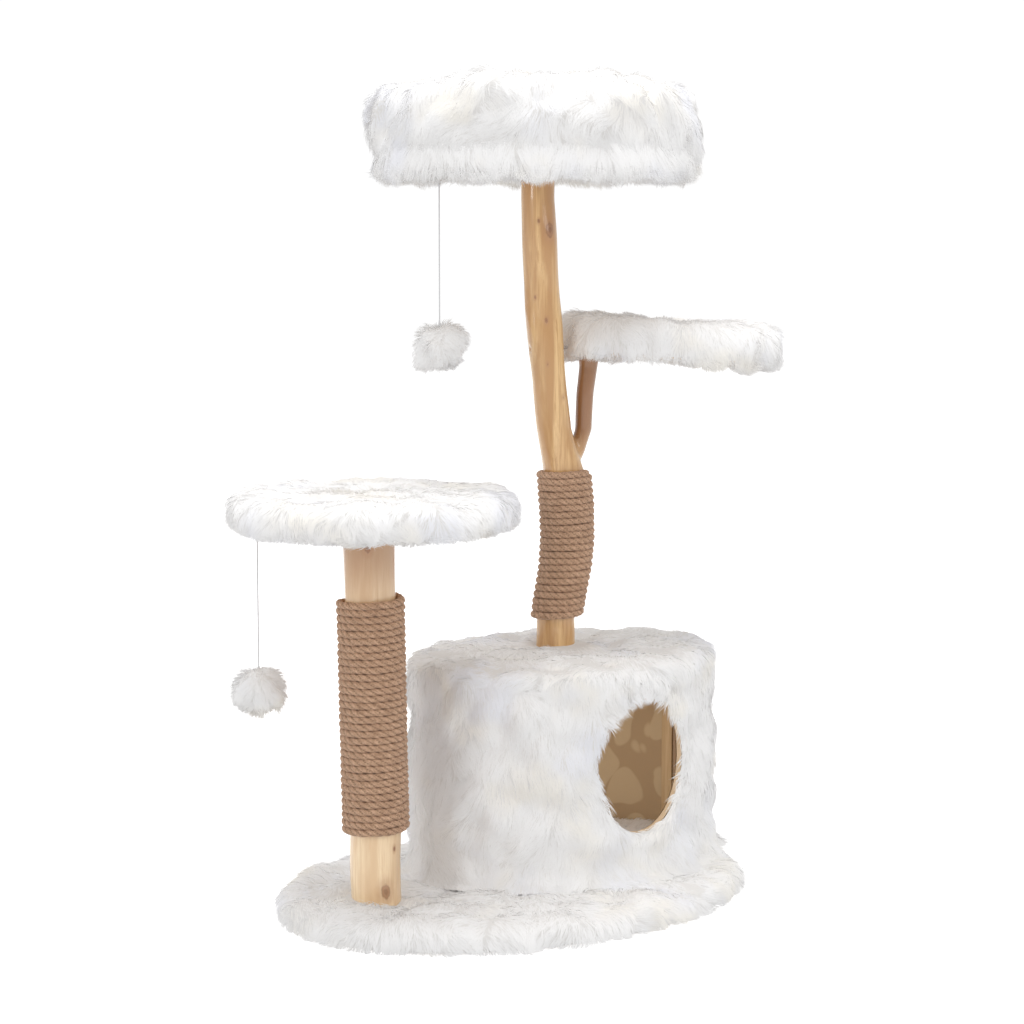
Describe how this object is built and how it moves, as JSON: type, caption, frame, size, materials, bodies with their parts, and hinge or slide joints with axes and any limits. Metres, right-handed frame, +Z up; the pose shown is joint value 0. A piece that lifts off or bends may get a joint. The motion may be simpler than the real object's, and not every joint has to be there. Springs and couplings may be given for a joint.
{
  "type": "cat tree",
  "caption": "Free-standing cat tree: oval fur base, oval drum condo with a doorway, rope-wound short post and forked trunk, round perches, round bolster bed and swinging pom-poms.",
  "frame": {"origin": "middle of the base's underside, on the floor", "axes": "+Z up; +X along the base's long axis, from the short post towards the condo; the condo's doorway faces -Y"},
  "size_m": [0.8509, 0.5232, 1.1133],
  "materials": {
    "fur": "long soft pile, matte",
    "pompom": "fluffy fur ball",
    "felt": "matte khaki felt",
    "foam": "open foam",
    "plywood": "bare plywood",
    "pine": "clear satin lacquer",
    "honey_wood": "clear gloss lacquer",
    "sisal": "twisted sisal rope",
    "steel": "zinc plated",
    "string": "thin twisted cord"
  },
  "bodies": {
    "frame": {"base_underlay": "felt", "base_board": "plywood", "base_cover": "fur", "condo_floor_screw_1": "steel", "condo_floor_screw_2": "steel", "condo_floor_screw_3": "steel", "condo_floor_screw_4": "steel", "condo_floor_board": "plywood", "condo_roof_board": "plywood", "condo_wall": "plywood", "condo_wall_batten": "pine", "condo_wall_screw_1": "steel", "condo_wall_screw_2": "steel", "condo_wall_screw_3": "steel", "condo_wall_screw_4": "steel", "condo_wall_screw_5": "steel", "condo_wall_screw_6": "steel", "condo_wall_screw_7": "steel", "condo_wall_screw_8": "steel", "condo_liner": "felt", "condo_floor_mat": "fur", "condo_cover": "fur", "condo_roof_cover": "fur", "short_post": "pine", "short_post_rope": "sisal", "short_post_bolt": "steel", "short_post_washer": "steel", "lower_perch_board": "plywood", "lower_perch_pad": "foam", "lower_perch_cover": "fur", "lower_perch_bolt": "steel", "tall_post": "honey_wood", "tall_post_rope": "sisal", "tall_post_bolt": "steel", "tall_post_washer": "steel", "mid_perch_board": "plywood", "mid_perch_pad": "foam", "mid_perch_cover": "fur", "mid_perch_bolt": "steel", "mid_perch_edge_screw": "steel", "bed_board": "plywood", "bed_cover": "fur", "bed_bolster": "fur", "bed_cushion": "fur", "bed_bolt": "steel", "bed_washer": "steel", "lower_toy_eye": "steel", "upper_toy_eye": "steel"},
    "lower_loop": {"lower_toy_loop": "steel"},
    "lower_toy": {"lower_toy_string": "string", "lower_toy_pompom": "pompom"},
    "upper_loop": {"upper_toy_loop": "steel"},
    "upper_toy": {"upper_toy_string": "string", "upper_toy_pompom": "pompom"}
  },
  "joints": [
    {"name": "lower_toy_to_post", "type": "hinge", "parent": "frame", "child": "lower_loop", "pos_m": [-0.34855, 0.06285, 0.5217], "axis": [0.5664, 0.8241, 0], "range_deg": [-17, 70]},
    {"name": "lower_toy_past_post", "type": "hinge", "parent": "lower_loop", "child": "lower_toy", "pos_m": [-0.34855, 0.06285, 0.5147], "axis": [0.8241, -0.5664, 0], "range_deg": [-60, 60]},
    {"name": "upper_toy_to_post", "type": "hinge", "parent": "frame", "child": "upper_loop", "pos_m": [-0.085, 0.05, 0.9734], "axis": [-0.0339, 0.9994, 0], "range_deg": [-27, 70]},
    {"name": "upper_toy_past_post", "type": "hinge", "parent": "upper_loop", "child": "upper_toy", "pos_m": [-0.085, 0.05, 0.9664], "axis": [0.9994, 0.0339, 0], "range_deg": [-60, 60]}
  ]
}
